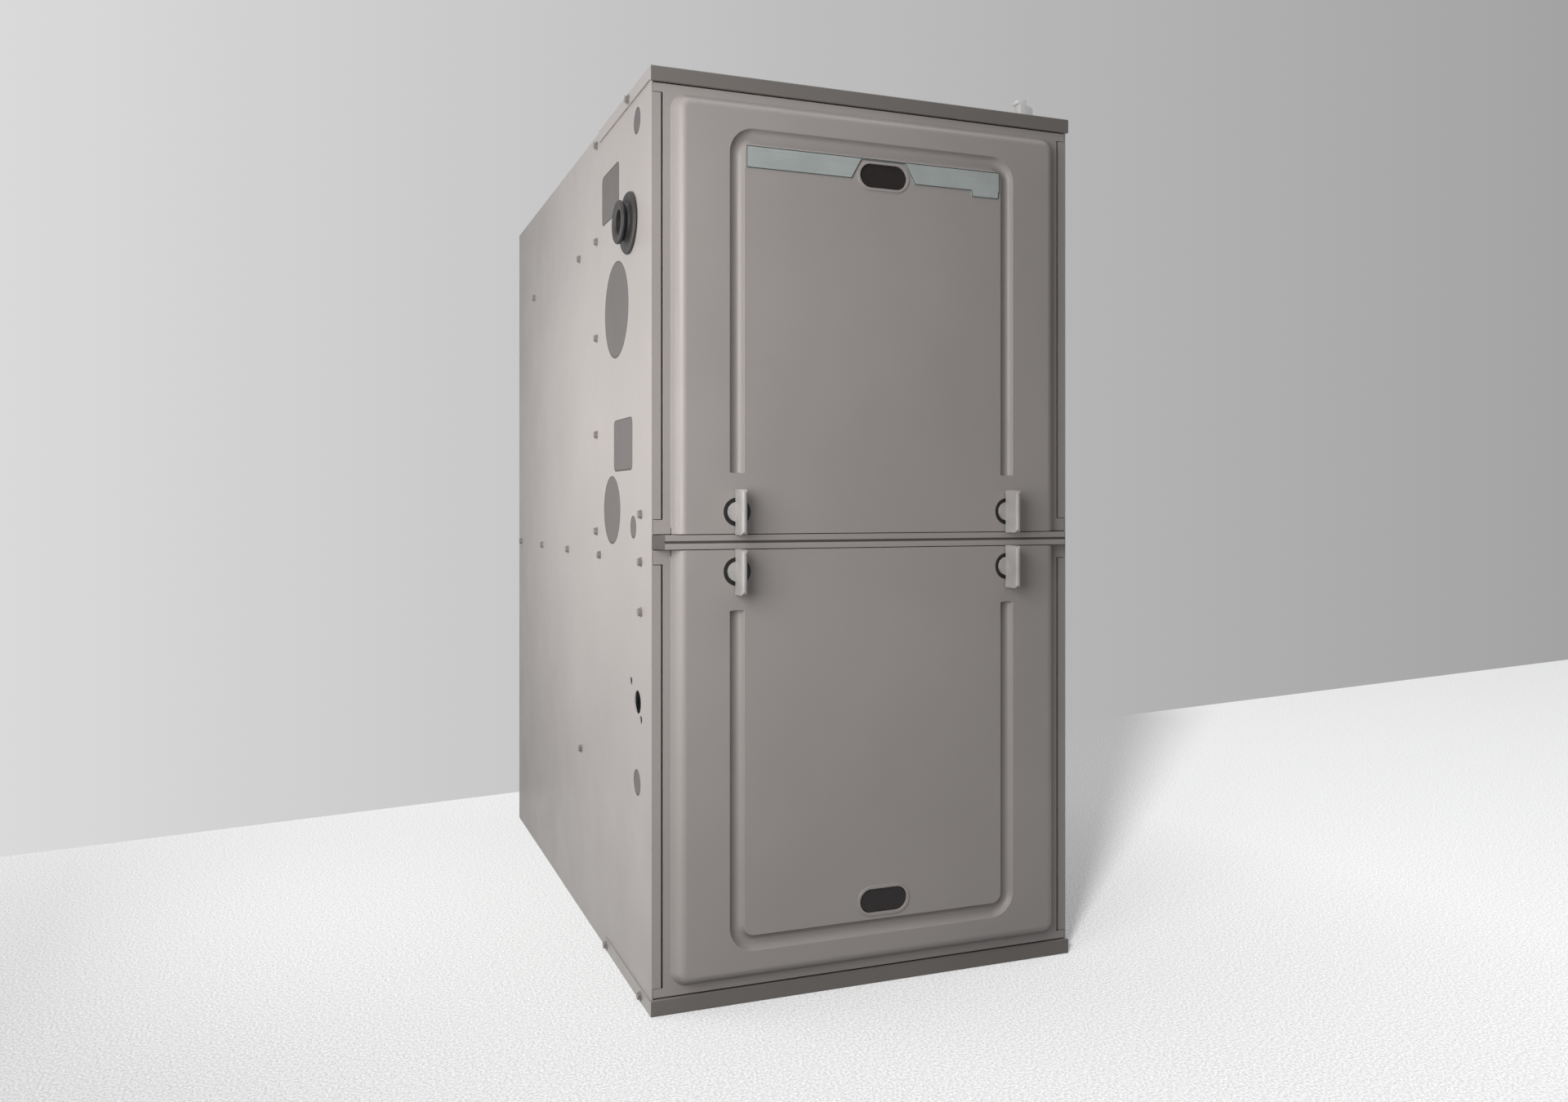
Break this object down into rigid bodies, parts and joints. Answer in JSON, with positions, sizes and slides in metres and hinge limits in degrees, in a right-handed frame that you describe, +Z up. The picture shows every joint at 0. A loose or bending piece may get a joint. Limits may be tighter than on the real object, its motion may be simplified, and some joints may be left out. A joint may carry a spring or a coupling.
{
  "type": "forced air gas furnace",
  "caption": "Upright sheet-metal gas furnace with two lift-off front doors, turn latches, knock-outs and gas grommet on the side, burners, heat exchanger and blower inside.",
  "frame": {"origin": "centre of the casing's footprint on the floor, at the base_rest mount", "axes": "+Z up, -Y the front with the doors, +X to the right for someone facing the doors"},
  "size_m": [0.4623, 0.7594, 0.8956],
  "materials": {
    "cabinet_paint": "satin warm grey powder coat",
    "galvanised_steel": "spangled zinc, dull",
    "screw_steel": "dull grey",
    "black_rubber": "matt moulded",
    "white_nylon": "plain moulded",
    "clamp_steel": "bright",
    "white_pipe": "smooth",
    "burner_steel": "aluminised, dull",
    "brass": "turned",
    "black_pipe": "mill scale",
    "valve_casting": "die cast",
    "black_plastic": "moulded, fine texture",
    "ceramic": "bare",
    "exchanger_steel": "aluminised, heat tinted",
    "fin_aluminium": "thin bright fins",
    "wheel_steel": "zinc",
    "shaft_steel": "ground",
    "motor_paint": "black, semi gloss",
    "trap_plastic": "natural moulded",
    "circuit_board": "solder mask",
    "transformer_steel": "varnished laminations",
    "can_aluminium": "drawn",
    "red_plastic": "moulded",
    "insulation": "foil faced blanket",
    "wire_insulation": "smooth",
    "hose_rubber": "smooth",
    "dark_glass": "smoked, glossy",
    "trim_metal": "satin silver",
    "latch_plastic": "satin grey"
  },
  "bodies": {
    "casing": {"left_side_panel": "cabinet_paint", "right_side_panel": "cabinet_paint", "back_panel": "cabinet_paint", "top_plate": "cabinet_paint", "base_plate": "cabinet_paint", "centre_rail": "cabinet_paint", "blower_deck": "galvanised_steel", "vestibule_wall": "galvanised_steel", "supply_flange": "cabinet_paint", "insulation_liner": "insulation", "casing_screws": "screw_steel", "gas_pipe_grommet": "black_rubber", "wire_clip": "white_nylon", "pipe_couplings": "black_rubber", "pipe_clamps": "clamp_steel", "inner_pipes": "white_pipe", "burner_box": "galvanised_steel", "burners": "burner_steel", "burner_orifices": "brass", "manifold_pipe": "black_pipe", "gas_valve": "valve_casting", "igniter": "ceramic", "flame_sensor": "ceramic", "rollout_switch": "black_plastic", "limit_switch": "black_plastic", "heat_exchanger_tubes": "exchanger_steel", "rear_header": "exchanger_steel", "secondary_coil": "fin_aluminium", "collector_box": "black_plastic", "inducer_housing": "black_plastic", "inducer_motor": "motor_paint", "pressure_switches": "black_plastic", "pressure_hoses": "hose_rubber", "condensate_trap": "trap_plastic", "drain_hose": "hose_rubber", "blower_housing": "galvanised_steel", "blower_motor": "motor_paint", "motor_mount": "galvanised_steel", "control_plate": "galvanised_steel", "control_board": "circuit_board", "transformer": "transformer_steel", "capacitor": "can_aluminium", "junction_box": "galvanised_steel", "door_switch": "black_plastic", "wire_harness": "wire_insulation"},
    "upper_door": {"upper_door": "cabinet_paint", "upper_sight_glass": "dark_glass", "trim_strip": "trim_metal"},
    "lower_door": {"lower_door": "cabinet_paint", "lower_sight_glass": "dark_glass"},
    "upper_left_latch": {"upper_left_latch": "latch_plastic"},
    "upper_right_latch": {"upper_right_latch": "latch_plastic"},
    "lower_left_latch": {"lower_left_latch": "latch_plastic"},
    "lower_right_latch": {"lower_right_latch": "latch_plastic"},
    "blower_wheel": {"blower_wheel": "wheel_steel", "blower_shaft": "shaft_steel"},
    "inducer_wheel": {"inducer_wheel": "wheel_steel"},
    "gas_valve_switch": {"valve_switch": "black_plastic"},
    "rollout_reset_button": {"rollout_reset_button": "red_plastic"},
    "door_switch_plunger": {"door_switch_plunger": "red_plastic"}
  },
  "joints": [
    {"name": "upper_door_pull_off", "type": "slide", "parent": "casing", "child": "upper_door", "axis": [0, -1, 0], "range_m": [0, 0.25]},
    {"name": "lower_door_pull_off", "type": "slide", "parent": "casing", "child": "lower_door", "axis": [0, -1, 0], "range_m": [0, 0.25]},
    {"name": "upper_left_latch_turn", "type": "hinge", "parent": "upper_door", "child": "upper_left_latch", "pos_m": [-0.144, -0.373, 0.458], "axis": [0, 1, 0], "range_deg": [0, 90]},
    {"name": "upper_right_latch_turn", "type": "hinge", "parent": "upper_door", "child": "upper_right_latch", "pos_m": [0.144, -0.373, 0.458], "axis": [0, 1, 0], "range_deg": [0, 90]},
    {"name": "lower_left_latch_turn", "type": "hinge", "parent": "lower_door", "child": "lower_left_latch", "pos_m": [-0.144, -0.373, 0.403], "axis": [0, 1, 0], "range_deg": [0, 90]},
    {"name": "lower_right_latch_turn", "type": "hinge", "parent": "lower_door", "child": "lower_right_latch", "pos_m": [0.144, -0.373, 0.403], "axis": [0, 1, 0], "range_deg": [0, 90]},
    {"name": "blower_wheel_spin", "type": "hinge", "parent": "casing", "child": "blower_wheel", "pos_m": [0, 0.06, 0.188], "axis": [1, 0, 0], "continuous": true},
    {"name": "inducer_wheel_spin", "type": "hinge", "parent": "casing", "child": "inducer_wheel", "pos_m": [0.066, -0.194, 0.53], "axis": [0, 1, 0], "continuous": true},
    {"name": "gas_valve_switch_turn", "type": "hinge", "parent": "casing", "child": "gas_valve_switch", "pos_m": [-0.15225, -0.316, 0.744], "axis": [0, 1, 0], "range_deg": [0, 90]},
    {"name": "rollout_reset_press", "type": "slide", "parent": "casing", "child": "rollout_reset_button", "axis": [0, 0, -1], "range_m": [0, 0.0015], "stiffness_N_per_m": 400},
    {"name": "door_switch_press", "type": "slide", "parent": "casing", "child": "door_switch_plunger", "axis": [0, 1, 0], "range_m": [0, 0.004], "stiffness_N_per_m": 300}
  ]
}
